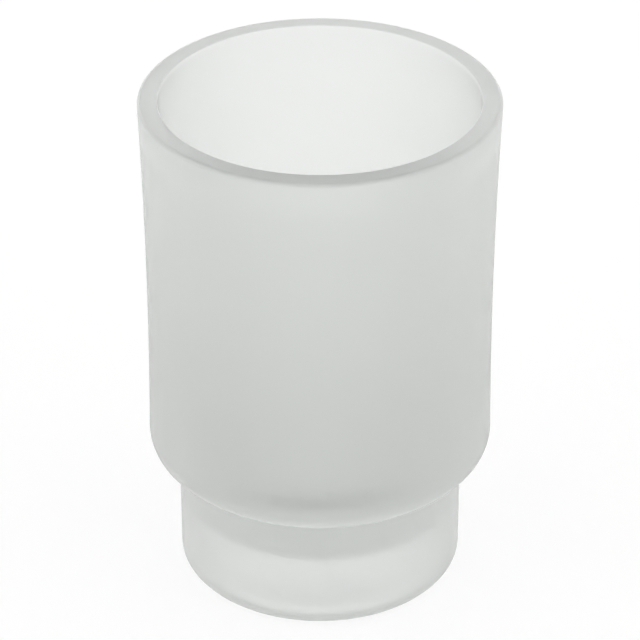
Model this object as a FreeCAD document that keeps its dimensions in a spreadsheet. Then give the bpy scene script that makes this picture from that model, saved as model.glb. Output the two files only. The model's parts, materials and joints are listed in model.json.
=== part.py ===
"""Frosted glass bathroom tumbler with a stepped foot, as a parametric FreeCAD document in millimetres.

The real tumbler is one piece of pressed glass: a heavy solid base, a narrower foot that drops into a
ring holder, a rounded shoulder that rests on the ring, and a slightly waisted wall up to a flat rim.
Its half-section is drawn once in a sketch and turned about Z. The recess under the base is turned out
of it, and its edges are rounded. Origin: centre of the base, on the surface that it stands on. Z is up.
"""

import FreeCAD
import Part
import Sketcher
import math
import os

# Driving sizes in millimetres, from the outside in. Each is one cell of the spreadsheet.
SIZES = {
    "height": 98.4,
    "rim_diameter": 66.0,  # across the outside, just under the rim's round
    "wall_radius": 1120.0,  # of the long hollow arc that gives the wall its waist
    "foot_diameter": 54.0,  # drops into a ring holder of 55 mm
    "foot_height": 24.0,  # from the base up to the ledge under the shoulder
    "shoulder_round": 5.3,
    "seat_flat": 0.1,  # flat of the ledge between the shoulder's round and the neck
    "neck_round": 0.2,  # hollow corner between ledge and foot
    "foot_edge_round": 2.5,
    "rim_outer_round": 0.8,
    "rim_inner_round": 0.3,
    "rim_wall": 3.7,  # glass at the rim
    "shoulder_wall": 3.9,  # glass at the foot of the wall
    "step_thickness": 3.9,  # glass above the ledge
    "foot_wall": 4.2,  # glass at the top of the foot
    "floor_wall": 4.4,  # glass beside the cavity's floor
    "base_thickness": 12.0,
    "floor_round": 4.0,
    "bearing_width": 3.5,  # ring that the glass stands on, round the recess under the base
    "punt_depth": 1.4,  # height of the recess's leaning side
    "punt_slope": 1.4,  # how far that side leans in
    "punt_crown": 0.6,  # rise of the recess's ceiling above its side
    "punt_edge_round": 0.8,
    "overrun": 2.0,  # how far a cut starts outside the glass
}
# Share of the inner ledge's width that each of its two rounds takes.
INNER_ROUND_SHARE = 0.42

NODE = "glass_tumbler"

# The sketch's origin, as a point of its horizontal axis.
ORIGIN = (-1, 1)


def make_sheet(doc):
    """The spreadsheet of driving sizes, one named cell each."""
    sheet = doc.addObject("Spreadsheet::Sheet", "sizes")
    cells = dict(SIZES, inner_round_share=INNER_ROUND_SHARE)
    for row, (alias, value) in enumerate(cells.items(), start=1):
        sheet.set(f"A{row}", alias)
        sheet.set(f"B{row}", str(value))
        sheet.setAlias(f"B{row}", alias)
    doc.recompute()
    return sheet


class Levels:
    """Radii and heights of the section's corners, read from the sheet. They place the sketches' first
    guess and find the edges to round. The sketches' own constraints hold the sizes."""

    def __init__(self, sheet):
        size = {alias: float(sheet.get(alias)) for alias in SIZES}
        self.rim = size["rim_diameter"] / 2
        self.rim_round = size["rim_outer_round"]
        self.rim_inside = self.rim - size["rim_wall"]
        self.wall_radius = size["wall_radius"]
        self.foot = size["foot_diameter"] / 2
        self.ledge = self.foot + size["neck_round"] + size["seat_flat"]
        self.shoulder_round = size["shoulder_round"]
        self.shoulder = self.ledge + self.shoulder_round
        self.shoulder_inside = self.shoulder - size["shoulder_wall"]
        self.foot_inside = self.foot - size["foot_wall"]
        self.floor_inside = self.foot - size["floor_wall"]
        self.punt = self.foot - size["foot_edge_round"] - size["bearing_width"]
        self.punt_top = self.punt - size["punt_slope"]
        self.top = size["height"]
        self.step = size["foot_height"]
        self.inner_step = self.step + size["step_thickness"]
        self.floor = size["base_thickness"]
        self.punt_depth = size["punt_depth"]
        self.punt_crown = size["punt_crown"]
        self.overrun = size["overrun"]


def new_sketch(body, name):
    """An empty sketch on the body's XZ plane, where the sketch's X is the radius and its Y the height."""
    plane = next(f for f in body.Origin.OriginFeatures if f.Role == "XZ_Plane")
    sketch = body.newObject("Sketcher::SketchObject", name)
    sketch.AttachmentSupport = [(plane, "")]
    sketch.MapMode = "FlatFace"
    return sketch


def point(radius, height):
    return FreeCAD.Vector(radius, height, 0)


def line(sketch, start_at, end_at):
    return sketch.addGeometry(Part.LineSegment(point(*start_at), point(*end_at)))


def arc(sketch, centre_at, radius, from_angle, to_angle):
    """A counter-clockwise arc between two angles in degrees."""
    circle = Part.Circle(point(*centre_at), FreeCAD.Vector(0, 0, 1), radius)
    return sketch.addGeometry(Part.ArcOfCircle(circle, math.radians(from_angle), math.radians(to_angle)))


def hollow_arc(sketch, top, bottom, radius):
    """An arc from top to bottom that is hollow towards the axis."""
    chord = point(*bottom) - point(*top)
    depth = radius - math.sqrt(radius**2 - (chord.Length / 2) ** 2)
    inward = FreeCAD.Vector(chord.y, -chord.x, 0).normalize()
    middle = (point(*top) + point(*bottom)) / 2 + inward * depth
    return sketch.addGeometry(Part.Arc(point(*top), middle, point(*bottom)))


def start(index):
    """The start of a piece of a sketch's geometry, as a constraint names it."""
    return index, 1


def end(index):
    return index, 2


def centre(index):
    return index, 3


def join(sketch, kind, *pairs):
    """Makes each pair of points Coincident, or Tangent where two pieces of geometry meet."""
    for first, second in pairs:
        sketch.addConstraint(Sketcher.Constraint(kind, *first, *second))


def lay(sketch, kind, *lines):
    """Holds lines Horizontal or Vertical."""
    for index in lines:
        sketch.addConstraint(Sketcher.Constraint(kind, index))


def bind(sketch, constraint, name, expression):
    index = sketch.addConstraint(constraint)
    sketch.renameConstraint(index, name)
    sketch.setExpression(f"Constraints.{name}", expression)


def across(sketch, first, second, name, expression):
    """A named distance along the radius, bound to the sheet."""
    drawn = sketch.getPoint(*second).x - sketch.getPoint(*first).x
    bind(sketch, Sketcher.Constraint("DistanceX", *first, *second, drawn), name, expression)


def up(sketch, first, second, name, expression):
    """A named distance along the height, bound to the sheet."""
    drawn = sketch.getPoint(*second).y - sketch.getPoint(*first).y
    bind(sketch, Sketcher.Constraint("DistanceY", *first, *second, drawn), name, expression)


def curve(sketch, index, name, expression):
    """A named radius, bound to the sheet."""
    bind(sketch, Sketcher.Constraint("Radius", index, sketch.Geometry[index].Radius), name, expression)


def draw_section(body, at):
    """Half-section of the glass: base, foot, shoulder, waisted wall, rim and cavity, as on a drawing."""
    sketch = new_sketch(body, "glass_section")
    base_corner = (at.foot, 0)
    neck = (at.foot, at.step)
    rim_inner = (at.rim_inside, at.top)
    inner_shoulder = (at.shoulder_inside, at.inner_step)
    inner_neck = (at.foot_inside, at.inner_step)
    floor_corner = (at.floor_inside, at.floor)
    floor_centre = (0, at.floor)
    shoulder_centre = (at.ledge, at.step + at.shoulder_round)
    rim_centre = (at.rim - at.rim_round, at.top - at.rim_round)
    wall_top = (at.rim, at.top - at.rim_round)
    wall_foot = (at.shoulder, at.step + at.shoulder_round)

    underside = line(sketch, (0, 0), base_corner)
    foot = line(sketch, base_corner, neck)
    ledge = line(sketch, neck, (at.ledge, at.step))
    shoulder = arc(sketch, shoulder_centre, at.shoulder_round, -90, 0)
    wall = hollow_arc(sketch, wall_top, wall_foot, at.wall_radius)
    rim_outside = arc(sketch, rim_centre, at.rim_round, 0, 90)
    rim = line(sketch, (at.rim - at.rim_round, at.top), rim_inner)
    bore = line(sketch, rim_inner, inner_shoulder)
    inner_ledge = line(sketch, inner_shoulder, inner_neck)
    foot_bore = line(sketch, inner_neck, floor_corner)
    floor = line(sketch, floor_corner, floor_centre)
    axis = line(sketch, floor_centre, (0, 0))

    join(
        sketch,
        "Coincident",
        (start(underside), ORIGIN),
        (end(underside), start(foot)),
        (end(foot), start(ledge)),
        (end(rim), start(bore)),
        (end(bore), start(inner_ledge)),
        (end(inner_ledge), start(foot_bore)),
        (end(foot_bore), start(floor)),
        (end(floor), start(axis)),
        (end(axis), ORIGIN),
    )
    join(
        sketch,
        "Tangent",
        (end(ledge), start(shoulder)),
        (end(shoulder), end(wall)),
        (start(wall), start(rim_outside)),
        (end(rim_outside), start(rim)),
    )
    lay(sketch, "Horizontal", underside, ledge, rim, inner_ledge, floor)
    lay(sketch, "Vertical", foot, axis)

    across(sketch, ORIGIN, start(foot), "foot_radius", "sizes.foot_diameter / 2")
    up(sketch, start(foot), end(foot), "foot_height", "sizes.foot_height")
    across(sketch, start(ledge), end(ledge), "ledge_width", "sizes.neck_round + sizes.seat_flat")
    curve(sketch, shoulder, "shoulder_round", "sizes.shoulder_round")
    curve(sketch, wall, "wall_radius", "sizes.wall_radius")
    across(sketch, ORIGIN, start(wall), "rim_radius", "sizes.rim_diameter / 2")
    curve(sketch, rim_outside, "rim_outer_round", "sizes.rim_outer_round")
    up(sketch, ORIGIN, start(rim), "height", "sizes.height")
    across(sketch, end(rim), start(wall), "rim_wall", "sizes.rim_wall")
    across(sketch, end(bore), end(wall), "shoulder_wall", "sizes.shoulder_wall")
    up(sketch, end(foot), end(bore), "step_thickness", "sizes.step_thickness")
    across(sketch, start(foot_bore), end(foot), "foot_wall", "sizes.foot_wall")
    across(sketch, end(foot_bore), start(foot), "floor_wall", "sizes.floor_wall")
    up(sketch, start(foot), end(foot_bore), "base_thickness", "sizes.base_thickness")
    return sketch


def draw_punt(body, at):
    """Half-section of the recess under the base: a leaning side and a shallow crown, open below."""
    sketch = new_sketch(body, "punt_section")
    mouth = (at.punt, 0)
    side_top = (at.punt_top, at.punt_depth)
    crown_top = (0, at.punt_depth + at.punt_crown)
    crown_radius = (at.punt_top**2 + at.punt_crown**2) / (2 * at.punt_crown)
    crown_centre = (0, crown_top[1] - crown_radius)
    crown_side = math.degrees(math.acos(at.punt_top / crown_radius))

    skirt = line(sketch, (at.punt, -at.overrun), mouth)
    side = line(sketch, mouth, side_top)
    crown = arc(sketch, crown_centre, crown_radius, crown_side, 90)
    axis = line(sketch, crown_top, (0, -at.overrun))
    bottom = line(sketch, (0, -at.overrun), (at.punt, -at.overrun))

    join(
        sketch,
        "Coincident",
        (end(skirt), start(side)),
        (end(side), start(crown)),
        (end(crown), start(axis)),
        (end(axis), start(bottom)),
        (end(bottom), start(skirt)),
    )
    lay(sketch, "Vertical", skirt, axis)
    lay(sketch, "Horizontal", bottom)
    join(sketch, "Vertical", (ORIGIN, start(axis)), (ORIGIN, centre(crown)))
    join(sketch, "Horizontal", (ORIGIN, start(side)))

    punt_radius = "sizes.foot_diameter / 2 - sizes.foot_edge_round - sizes.bearing_width"
    across(sketch, ORIGIN, start(side), "punt_radius", punt_radius)
    across(sketch, end(side), start(side), "punt_slope", "sizes.punt_slope")
    up(sketch, start(side), end(side), "punt_depth", "sizes.punt_depth")
    up(sketch, end(side), start(axis), "punt_crown", "sizes.punt_crown")
    up(sketch, end(axis), ORIGIN, "overrun", "sizes.overrun")
    return sketch


def turn(body, kind, name, sketch):
    """Turns a sketch once round the Z axis, as a Revolution or a Groove."""
    feature = body.newObject(kind, name)
    feature.Profile = sketch
    feature.ReferenceAxis = (sketch, ["V_Axis"])
    feature.Angle = 360
    body.Document.recompute()
    return feature


def ring_edge(shape, radius, height):
    """Name of the round edge about Z that lies nearest to that radius and height."""
    misses = {}
    for index, edge in enumerate(shape.Edges, start=1):
        if edge.Degenerated or not isinstance(edge.Curve, Part.Circle):
            continue
        circle = edge.Curve
        if abs(circle.Axis.z) > abs(circle.Axis.y):
            misses[f"Edge{index}"] = abs(circle.Radius - radius) + abs(circle.Center.z - height)
    return min(misses, key=misses.get)


def round_ring(body, name, radius, height, expression):
    """A fillet on the round edge at that radius and height, its radius bound to the sheet."""
    base = body.Tip
    fillet = body.newObject("PartDesign::Fillet", name)
    fillet.Base = (base, [ring_edge(base.Shape, radius, height)])
    fillet.setExpression("Radius", expression)
    body.Document.recompute()
    return fillet


def make_tumbler(doc, sheet):
    """The glass: turned section, turned-out recess, then the rounded edges."""
    at = Levels(sheet)
    body = doc.addObject("PartDesign::Body", NODE)
    body.Label = NODE
    blank = turn(body, "PartDesign::Revolution", "turned_glass", draw_section(body, at))
    recessed = turn(body, "PartDesign::Groove", "punt", draw_punt(body, at))
    if recessed.Shape.Volume >= blank.Shape.Volume:
        raise RuntimeError("the recess under the base cuts nothing")

    # Outside, from the base up.
    round_ring(body, "punt_edge", at.punt, 0, "sizes.punt_edge_round")
    round_ring(body, "punt_corner", at.punt_top, at.punt_depth, "sizes.punt_edge_round")
    round_ring(body, "foot_edge", at.foot, 0, "sizes.foot_edge_round")
    round_ring(body, "neck", at.foot, at.step, "sizes.neck_round")

    # Inside: the floor, then the two rounds of the inner ledge, which share its width, then the rim.
    outer_step = "sizes.neck_round + sizes.seat_flat + sizes.shoulder_round"
    ledge_round = f"sizes.inner_round_share * ({outer_step} + sizes.foot_wall - sizes.shoulder_wall)"
    round_ring(body, "floor_corner", at.floor_inside, at.floor, "sizes.floor_round")
    round_ring(body, "inner_neck", at.foot_inside, at.inner_step, ledge_round)
    round_ring(body, "inner_shoulder", at.shoulder_inside, at.inner_step, ledge_round)
    round_ring(body, "rim_inside", at.rim_inside, at.top, "sizes.rim_inner_round")
    return body


def check(doc, parts):
    """Stops the script if any object failed to compute, or a part is not one valid solid."""
    for item in doc.Objects:
        if {"Invalid", "Error"} & set(item.State):
            raise RuntimeError(f"{item.Name} failed: {item.State}")
    for part in parts:
        shape = part.Shape
        if shape.isNull() or not shape.isValid() or len(shape.Solids) != 1:
            raise RuntimeError(f"{part.Label} is not one valid solid")


def main():
    doc = FreeCAD.newDocument("bathroom_tumbler")
    sheet = make_sheet(doc)
    parts = [make_tumbler(doc, sheet)]
    doc.recompute()
    check(doc, parts)
    os.makedirs("parts", exist_ok=True)
    for part in parts:
        shape = part.Shape
        shape.exportStep(f"parts/{part.Label}.step")
        box = shape.optimalBoundingBox(False, False)
        extent = f"{box.XLength:.2f} x {box.YLength:.2f} x {box.ZLength:.2f} mm"
        print(f"{part.Label}: {extent}, {shape.Volume / 1000:.2f} cm3, {len(shape.Faces)} faces")


main()
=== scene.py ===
import json
import math

import bmesh
import bpy
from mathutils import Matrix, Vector


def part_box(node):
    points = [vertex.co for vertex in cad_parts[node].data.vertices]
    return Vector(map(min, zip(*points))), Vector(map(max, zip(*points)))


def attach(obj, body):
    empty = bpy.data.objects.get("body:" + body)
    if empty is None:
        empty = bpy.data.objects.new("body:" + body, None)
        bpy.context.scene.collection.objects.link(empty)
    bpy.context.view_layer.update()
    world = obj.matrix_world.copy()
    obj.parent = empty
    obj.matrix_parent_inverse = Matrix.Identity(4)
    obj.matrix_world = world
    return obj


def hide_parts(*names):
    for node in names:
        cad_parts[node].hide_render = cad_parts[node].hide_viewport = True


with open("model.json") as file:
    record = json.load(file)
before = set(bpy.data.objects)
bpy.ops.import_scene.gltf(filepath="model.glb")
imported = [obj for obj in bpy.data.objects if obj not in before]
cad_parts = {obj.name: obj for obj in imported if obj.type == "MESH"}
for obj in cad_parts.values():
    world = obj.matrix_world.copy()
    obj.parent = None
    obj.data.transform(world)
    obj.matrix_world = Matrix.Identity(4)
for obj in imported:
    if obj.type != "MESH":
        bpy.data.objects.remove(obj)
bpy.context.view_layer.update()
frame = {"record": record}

MM = 0.001

# Sizes of the glass, in metres. Its height and the radii of its rim and foot come from the frame.
_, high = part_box("glass_tumbler")
FOOT_MOUNT = next(m for m in frame["record"]["mounts"] if m["name"] == "foot")
TOP = high.z
RIM_RADIUS = high.x
FOOT_RADIUS = FOOT_MOUNT["dims"]["r_mm"] * MM
FOOT_HEIGHT = 24.0 * MM
WALL_ARC_RADIUS = 1120.0 * MM
SHOULDER_ROUND = 5.3 * MM
LEDGE_WIDTH = 0.3 * MM
NECK_ROUND = 0.2 * MM
FOOT_EDGE_ROUND = 2.5 * MM
RIM_OUTER_ROUND = 0.8 * MM
RIM_INNER_ROUND = 0.3 * MM

# How thick the glass is from the rim down to the base, and the rounds of the cavity.
# The two rounds of the inner ledge are each a share of its width.
RIM_WALL = 3.7 * MM
SHOULDER_WALL = 3.9 * MM
STEP_THICKNESS = 3.9 * MM
FOOT_WALL = 4.2 * MM
FLOOR_WALL = 4.4 * MM
BASE_THICKNESS = 12.0 * MM
FLOOR_ROUND = 4.0 * MM
INNER_ROUND_SHARE = 0.42

# The bearing ring under the base, and the crowned recess inside it.
BEARING_WIDTH = 3.5 * MM
RECESS_DEPTH = 1.4 * MM
RECESS_SLOPE = 1.4 * MM
RECESS_CROWN = 0.6 * MM
RECESS_EDGE_ROUND = 0.8 * MM

# Fineness of the mesh. The wall's rings start above the foot by a share of the shoulder's round,
# and end below the top by a share of the rim's outer round. Points nearer than the last value are one.
TURNS = 192
WALL_RINGS = 20
WALL_START_SHARE = 1.2
WALL_END_SHARE = 1.5
LONGEST_EDGE = 5.0 * MM
SAME_PLACE = 0.001 * MM

# Roughness of the etched glass. Outside it goes from the foot's to the wall's and then to the lip's.
ETCH_FOOT = 0.5
ETCH_WALL = 0.6
ETCH_LIP = 0.4
ETCH_INSIDE = 0.65
ETCH_RIM = 0.33
ETCH_BEARING = 0.35
ETCH_SPREAD = 0.08

# Where each roughness starts and where it is full: heights for the wall and the bearing ring,
# depths below the top for the lip and the rim. The inside starts at a share of the rim's wall.
WALL_FADE = (32 * MM, 68 * MM)
BEARING_FADE = (0.6 * MM, 0.1 * MM)
LIP_FADE = (9 * MM, 4 * MM)
RIM_FADE = (1.3 * MM, 0.2 * MM)
INSIDE_SHARE = 0.6

# The etch's clouds, the ripple that the mould leaves and the etch's grain.
CLOUD = 9.0 * MM
CLOUD_DETAIL = 3
CLOUD_MEAN = 0.5
RIPPLE = 22.0 * MM
RIPPLE_DETAIL = 1
RIPPLE_DEPTH = 0.05 * MM
RIPPLE_STRENGTH = 0.3
GRAIN = 0.28 * MM
GRAIN_DETAIL = 2
GRAIN_DEPTH = 0.02 * MM
GRAIN_STRENGTH = 0.2

# The glass itself, from its densest clouds to its clearest.
DENSE_TINT = (0.882, 0.895, 0.881, 1)
CLEAR_TINT = (0.902, 0.915, 0.901, 1)
GLASS_IOR = 1.5

# The set: the floor, a dark grey card just below the picture that is painted shade seen only in the
# glass, three softboxes and the room's even light.
FLOOR_WIDTH = 6.0
FLOOR_DROP = 0.05 * MM
FLOOR_LIT = (0.3, 0.3, 0.3, 1)
FLOOR_GLOW = 0.74
SHADE_CARD_WIDTH = 600 * MM
SHADE_CARD_DEPTH = 100 * MM
SHADE_CARD_START = 37 * MM
SHADE_CARD_LIFT = 0.1 * MM
# Painted shade: this dark grey shows only in the glass, in place of the shade in front of it.
PAINTED_SHADE_GREY = (0.05, 0.05, 0.05, 1)
SIDE_LIGHT_PLACE = Vector((1.2, -0.3, 0.5))
SIDE_LIGHT_SIZE = (2.8, 1.4)
SIDE_LIGHT_LEVEL = 0.95
BACK_LIGHT_PLACE = Vector((0, 1.8, 0.6))
BACK_LIGHT_SIZE = (3.2, 1.2)
BACK_LIGHT_LEVEL = 1.0
ROOM_COLOUR = (1, 1, 1, 1)
ROOM_LEVEL = 0.55
OTHER_SIDE = Vector((-1, 1, 1))

# The camera looks down at the glass from the front. Its sensor and lens are in millimetres.
ELEVATION = math.radians(31.233)
DISTANCE = 583.9 * MM
AIM = Vector((0, 0, 51.36 * MM))
SENSOR = 36
LENS = 174.76
CLIP_START = 10 * MM


# Modelling helpers

def deselect_all():
    bpy.ops.object.select_all(action="DESELECT")


def section_point(radius, height):
    """A point of the half-section, which lies in the XZ plane."""
    return Vector((radius, 0, height))


def draw_line(points):
    """A new object whose mesh is a line through these points, drawn by extruding one vertex."""
    deselect_all()
    bpy.ops.mesh.primitive_plane_add(size=MM, location=(0, 0, 0))
    obj = bpy.context.object
    bpy.ops.object.mode_set(mode="EDIT")
    bpy.ops.mesh.select_mode(type="VERT")
    bpy.ops.mesh.merge(type="CENTER")
    bpy.ops.transform.translate(value=points[0])
    for here, there in zip(points, points[1:]):
        bpy.ops.mesh.extrude_vertices_move(TRANSFORM_OT_translate={"value": there - here})
    return obj


def round_corner(obj, corner, before, after, radius, segments):
    """Rounds one corner of the drawn line to that radius."""
    bpy.ops.mesh.select_all(action="DESELECT")
    mesh = bmesh.from_edit_mesh(obj.data)
    for vertex in mesh.verts:
        vertex.select = (vertex.co - corner).length < SAME_PLACE
    mesh.select_flush_mode()
    bmesh.update_edit_mesh(obj.data)
    angle = (before - corner).angle(after - corner)
    bpy.ops.mesh.bevel(
        offset_type="OFFSET", offset=radius / math.tan(angle / 2), segments=segments,
        profile=0.5, affect="VERTICES", clamp_overlap=False,
    )


def divide_long_edges(obj, longest):
    """Halves the line's edges until none is longer than this."""
    while True:
        bpy.ops.mesh.select_all(action="DESELECT")
        mesh = bmesh.from_edit_mesh(obj.data)
        long_edges = [edge for edge in mesh.edges if edge.calc_length() > longest]
        if not long_edges:
            return
        for edge in long_edges:
            edge.select_set(True)
        bmesh.update_edit_mesh(obj.data)
        bpy.ops.mesh.subdivide(number_cuts=1)


def spin_round(obj, steps):
    """Turns the drawn line once about Z, and closes the seam and the poles."""
    bpy.ops.mesh.select_all(action="SELECT")
    bpy.ops.mesh.spin(steps=steps, angle=math.tau, center=(0, 0, 0), axis=(0, 0, 1))
    bpy.ops.mesh.select_all(action="SELECT")
    bpy.ops.mesh.remove_doubles(threshold=SAME_PLACE)
    bpy.ops.mesh.normals_make_consistent(inside=False)
    bpy.ops.object.mode_set(mode="OBJECT")
    bpy.ops.object.shade_smooth()
    bpy.ops.object.modifier_add(type="WEIGHTED_NORMAL")
    bpy.ops.object.modifier_apply(modifier=obj.modifiers[0].name)


# The tumbler

def wall_outline():
    """Radius of the outer wall at a height: one long arc that waists the glass."""
    wall_top = section_point(RIM_RADIUS, TOP - RIM_OUTER_ROUND)
    wall_foot = section_point(
        FOOT_RADIUS + LEDGE_WIDTH + SHOULDER_ROUND, FOOT_HEIGHT + SHOULDER_ROUND
    )
    chord = wall_foot - wall_top
    middle = (wall_top + wall_foot) / 2
    outward = Vector((-chord.z, 0, chord.x)).normalized()
    centre = middle + outward * math.sqrt(WALL_ARC_RADIUS**2 - (chord.length / 2) ** 2)
    return lambda height: centre.x - math.sqrt(WALL_ARC_RADIUS**2 - (height - centre.z) ** 2)


def section_corners():
    """Corners of the half-section: radius, height, and a round with its number of segments."""
    wall = wall_outline()
    shoulder_radius = FOOT_RADIUS + LEDGE_WIDTH + SHOULDER_ROUND
    inner_step = FOOT_HEIGHT + STEP_THICKNESS
    inner_shoulder = shoulder_radius - SHOULDER_WALL
    inner_foot = FOOT_RADIUS - FOOT_WALL
    inner_round = INNER_ROUND_SHARE * (inner_shoulder - inner_foot)
    recess_radius = FOOT_RADIUS - FOOT_EDGE_ROUND - BEARING_WIDTH

    # From the middle of the underside out to the shoulder.
    corners = [
        (0, RECESS_DEPTH + RECESS_CROWN, 0, 0),
        (recess_radius - RECESS_SLOPE, RECESS_DEPTH, RECESS_EDGE_ROUND, 4),
        (recess_radius, 0, RECESS_EDGE_ROUND, 4),
        (FOOT_RADIUS, 0, FOOT_EDGE_ROUND, 12),
        (FOOT_RADIUS, FOOT_HEIGHT, NECK_ROUND, 5),
        (wall(FOOT_HEIGHT), FOOT_HEIGHT, SHOULDER_ROUND, 16),
    ]

    # Up the outer wall.
    wall_start = FOOT_HEIGHT + WALL_START_SHARE * SHOULDER_ROUND
    wall_end = TOP - WALL_END_SHARE * RIM_OUTER_ROUND
    rise = (wall_end - wall_start) / WALL_RINGS
    for ring in range(WALL_RINGS + 1):
        height = wall_start + ring * rise
        corners.append((wall(height), height, 0, 0))

    # Over the rim and down the cavity to the middle of its floor.
    corners += [
        (wall(TOP), TOP, RIM_OUTER_ROUND, 10),
        (RIM_RADIUS - RIM_WALL, TOP, RIM_INNER_ROUND, 8),
        (inner_shoulder, inner_step, inner_round, 10),
        (inner_foot, inner_step, inner_round, 10),
        (FOOT_RADIUS - FLOOR_WALL, BASE_THICKNESS, FLOOR_ROUND, 12),
        (0, BASE_THICKNESS, 0, 0),
    ]
    return corners


def make_tumbler():
    """The whole glass, as one closed mesh turned from its half-section."""
    corners = section_corners()
    points = [section_point(radius, height) for radius, height, _, _ in corners]
    tumbler = draw_line(points)
    for index, (_, _, radius, segments) in enumerate(corners):
        if radius:
            before, after = points[index - 1], points[index + 1]
            round_corner(tumbler, points[index], before, after, radius, segments)
    divide_long_edges(tumbler, LONGEST_EDGE)
    spin_round(tumbler, TURNS)
    tumbler.name = "tumbler"
    tumbler.data.name = "tumbler"
    return tumbler


# Finishes

class Value:
    """An output of a finish's nodes. Sums, products and comparisons of values add Math nodes."""

    def __init__(self, finish, socket):
        self.finish = finish
        self.socket = socket

    def combine(self, operation, first, second):
        return self.finish.node("ShaderNodeMath", {"operation": operation}, {0: first, 1: second})

    def __add__(self, other):
        return self.combine("ADD", self, other)

    def __sub__(self, other):
        return self.combine("SUBTRACT", self, other)

    def __rsub__(self, other):
        return self.combine("SUBTRACT", other, self)

    def __mul__(self, other):
        return self.combine("MULTIPLY", self, other)

    def __lt__(self, other):
        return self.combine("LESS_THAN", self, other)

    def __gt__(self, other):
        return self.combine("GREATER_THAN", self, other)

    __radd__ = __add__
    __rmul__ = __mul__


class Finish:
    """A material, with its shader and the nodes that feed it."""

    def __init__(self, name):
        self.material = bpy.data.materials.new(name)
        self.material.use_nodes = True
        self.tree = self.material.node_tree
        self.shader = self.tree.nodes["Principled BSDF"]

    def feed(self, socket, value):
        """Links a value to a socket, or sets the socket to a number, colour or vector."""
        if isinstance(value, Value):
            self.tree.links.new(value.socket, socket)
        else:
            socket.default_value = value

    def node(self, kind, settings=None, sockets=None, output=0):
        """Adds a node: its settings first, then the values or links of its sockets."""
        node = self.tree.nodes.new(kind)
        for name, value in (settings or {}).items():
            setattr(node, name, value)
        for name, value in (sockets or {}).items():
            self.feed(node.inputs[name], value)
        return Value(self, node.outputs[output])

    def ramp(self, value, start, end):
        """A smooth rise from 0 at the start to 1 at the end."""
        sockets = {"Value": value, "From Min": start, "From Max": end}
        return self.node("ShaderNodeMapRange", {"interpolation_type": "SMOOTHSTEP"}, sockets)

    def noise(self, place, size, detail):
        """Noise from 0 to 1 whose blotches have about this size."""
        sockets = {"Vector": place, "Scale": 1 / size, "Detail": detail}
        return self.node("ShaderNodeTexNoise", sockets=sockets)

    def set(self, **sockets):
        """Sets or links the shader's own sockets, named with _ for a space."""
        for name, value in sockets.items():
            self.feed(self.shader.inputs[name.replace("_", " ")], value)


def frosted_glass():
    """Pressed glass etched to a satin: coarser inside and up the wall, finer at the lip and the rim."""
    glass = Finish("frosted_glass")
    place = glass.node("ShaderNodeTexCoord", output="Object")
    height = glass.node("ShaderNodeSeparateXYZ", sockets={"Vector": place}, output="Z")
    flat = glass.node("ShaderNodeVectorMath", {"operation": "MULTIPLY"}, {0: place, 1: (1, 1, 0)})
    radius = glass.node("ShaderNodeVectorMath", {"operation": "LENGTH"}, {0: flat}, output="Value")

    # Where a point lies: up the wall, at the lip, inside, on the rim or on the bearing ring.
    wall = glass.ramp(height, *WALL_FADE)
    lip = glass.ramp(height, TOP - LIP_FADE[0], TOP - LIP_FADE[1])
    above_step = height > FOOT_HEIGHT + STEP_THICKNESS / 2
    in_cup = (radius < RIM_RADIUS - INSIDE_SHARE * RIM_WALL) * above_step
    in_foot = (radius < FOOT_RADIUS - FOOT_WALL / 2) * (height > BASE_THICKNESS / 2)
    inside = 1 - (1 - in_cup) * (1 - in_foot)
    rim = glass.ramp(height, TOP - RIM_FADE[0], TOP - RIM_FADE[1])
    bearing = glass.ramp(height, *BEARING_FADE) * (radius < FOOT_RADIUS - FOOT_EDGE_ROUND)

    # Each zone's roughness covers those before it.
    zones = [
        (wall, ETCH_WALL),
        (lip, ETCH_LIP),
        (inside, ETCH_INSIDE),
        (rim, ETCH_RIM),
        (bearing, ETCH_BEARING),
    ]
    etch = ETCH_FOOT
    for zone, roughness in zones:
        etch = etch + (roughness - etch) * zone

    clouds = glass.noise(place, CLOUD, CLOUD_DETAIL)
    ripple = glass.noise(place, RIPPLE, RIPPLE_DETAIL)
    grain = glass.noise(place, GRAIN, GRAIN_DETAIL)
    tint = glass.node(
        "ShaderNodeMix", {"data_type": "RGBA"},
        {"Factor": clouds, "A": DENSE_TINT, "B": CLEAR_TINT}, output="Result",
    )
    wavy = glass.node(
        "ShaderNodeBump",
        sockets={"Height": ripple, "Strength": RIPPLE_STRENGTH, "Distance": RIPPLE_DEPTH},
    )
    grainy = glass.node(
        "ShaderNodeBump",
        sockets={"Height": grain, "Strength": GRAIN_STRENGTH, "Distance": GRAIN_DEPTH, "Normal": wavy},
    )
    glass.set(
        Base_Color=tint, Roughness=etch + ETCH_SPREAD * (clouds - CLOUD_MEAN), Normal=grainy,
        IOR=GLASS_IOR, Transmission_Weight=1.0,
    )
    return glass.material


def floor_paint():
    """White to the eye and in the glass; part of it is lit, so the shadow shows."""
    paint = Finish("floor_paint")
    to_eye = paint.node("ShaderNodeLightPath", output="Is Camera Ray")
    mirrored = paint.node("ShaderNodeLightPath", output="Is Glossy Ray")
    through = paint.node("ShaderNodeLightPath", output="Is Transmission Ray")
    seen = 1 - (1 - to_eye) * (1 - mirrored) * (1 - through)
    paint.set(
        Base_Color=FLOOR_LIT, Roughness=1.0, Specular_IOR_Level=0.0,
        Emission_Color=FLOOR_GLOW * seen, Emission_Strength=1.0,
    )
    # The glow is only seen, so no light is sampled from it.
    paint.material.cycles.emission_sampling = "NONE"
    return paint.material


def painted_shade_paint():
    """A matt dark grey, the painted shade that the card shows in the glass."""
    paint = Finish("painted_shade_paint")
    paint.set(Base_Color=PAINTED_SHADE_GREY, Roughness=1.0, Specular_IOR_Level=0.0)
    return paint.material


# Floor, light and camera

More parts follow.
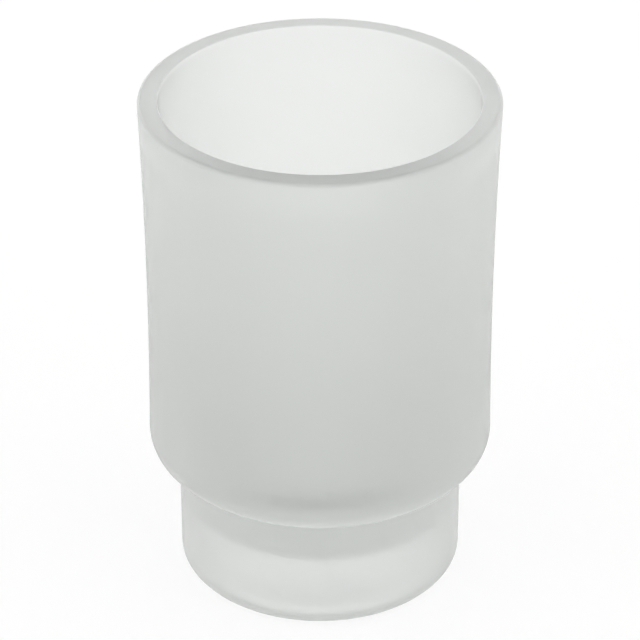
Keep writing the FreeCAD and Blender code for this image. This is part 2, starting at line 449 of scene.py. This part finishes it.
def flat_sheet(name, wide, deep, centre, finish):
    """A level sheet of the set, modelled in place."""
    deselect_all()
    bpy.ops.mesh.primitive_plane_add(size=1, location=(0, 0, 0))
    sheet = bpy.context.object
    sheet.name = name
    bpy.ops.object.mode_set(mode="EDIT")
    bpy.ops.transform.resize(value=(wide, deep, 1))
    bpy.ops.transform.translate(value=centre)
    bpy.ops.object.mode_set(mode="OBJECT")
    sheet.data.materials.append(finish)
    return sheet


def softbox(name, place, size, level):
    """An even light of this brightness that faces the middle of the glass."""
    bpy.ops.object.light_add(type="AREA", location=place)
    lamp = bpy.context.object
    lamp.name = name
    lamp.data.shape = "RECTANGLE"
    lamp.data.size, lamp.data.size_y = size
    lamp.data.energy = level * math.pi * size[0] * size[1]
    away = lamp.location - Vector((0, 0, TOP / 2))
    lamp.rotation_euler = away.to_track_quat("Z", "Y").to_euler()
    lamp.visible_camera = False


def lay_painted_shade_card():
    """A card of painted shade that shows only in the glass, where it draws the dark lines of the rim and
    the shoulder.
    """
    centre = (0, -SHADE_CARD_START - SHADE_CARD_DEPTH / 2, SHADE_CARD_LIFT)
    shade_card = flat_sheet("painted_shade_card", SHADE_CARD_WIDTH, SHADE_CARD_DEPTH, centre, painted_shade_paint())
    shade_card.visible_camera = False
    shade_card.visible_diffuse = False
    shade_card.visible_shadow = False


def light_room():
    """The same dim light from all round."""
    room = bpy.data.worlds.new("room")
    room.use_nodes = True
    background = room.node_tree.nodes["Background"]
    background.inputs["Color"].default_value = ROOM_COLOUR
    background.inputs["Strength"].default_value = ROOM_LEVEL
    bpy.context.scene.world = room


def place_camera():
    """The camera, which looks at the middle of the glass from the front and above."""
    bpy.ops.object.camera_add()
    camera = bpy.context.object
    camera.data.sensor_width = SENSOR
    camera.data.lens = LENS
    camera.data.clip_start = CLIP_START
    backwards = Vector((0, -math.cos(ELEVATION), math.sin(ELEVATION)))
    camera.location = AIM + backwards * DISTANCE
    camera.rotation_euler = backwards.to_track_quat("Z", "Y").to_euler()
    bpy.context.scene.camera = camera


# The glass takes the place of the CAD node.
tumbler = make_tumbler()
tumbler.data.materials.append(frosted_glass())
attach(tumbler, "root")
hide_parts("glass_tumbler")

# The set round it.
flat_sheet("floor", FLOOR_WIDTH, FLOOR_WIDTH, (0, 0, -FLOOR_DROP), floor_paint())
# A dark card of painted shade, seen only in the glass.
lay_painted_shade_card()
softbox("softbox_right", SIDE_LIGHT_PLACE, SIDE_LIGHT_SIZE, SIDE_LIGHT_LEVEL)
softbox("softbox_left", SIDE_LIGHT_PLACE * OTHER_SIDE, SIDE_LIGHT_SIZE, SIDE_LIGHT_LEVEL)
softbox("backdrop_light", BACK_LIGHT_PLACE, BACK_LIGHT_SIZE, BACK_LIGHT_LEVEL)
light_room()
place_camera()
bpy.context.scene.view_settings.view_transform = "Standard"
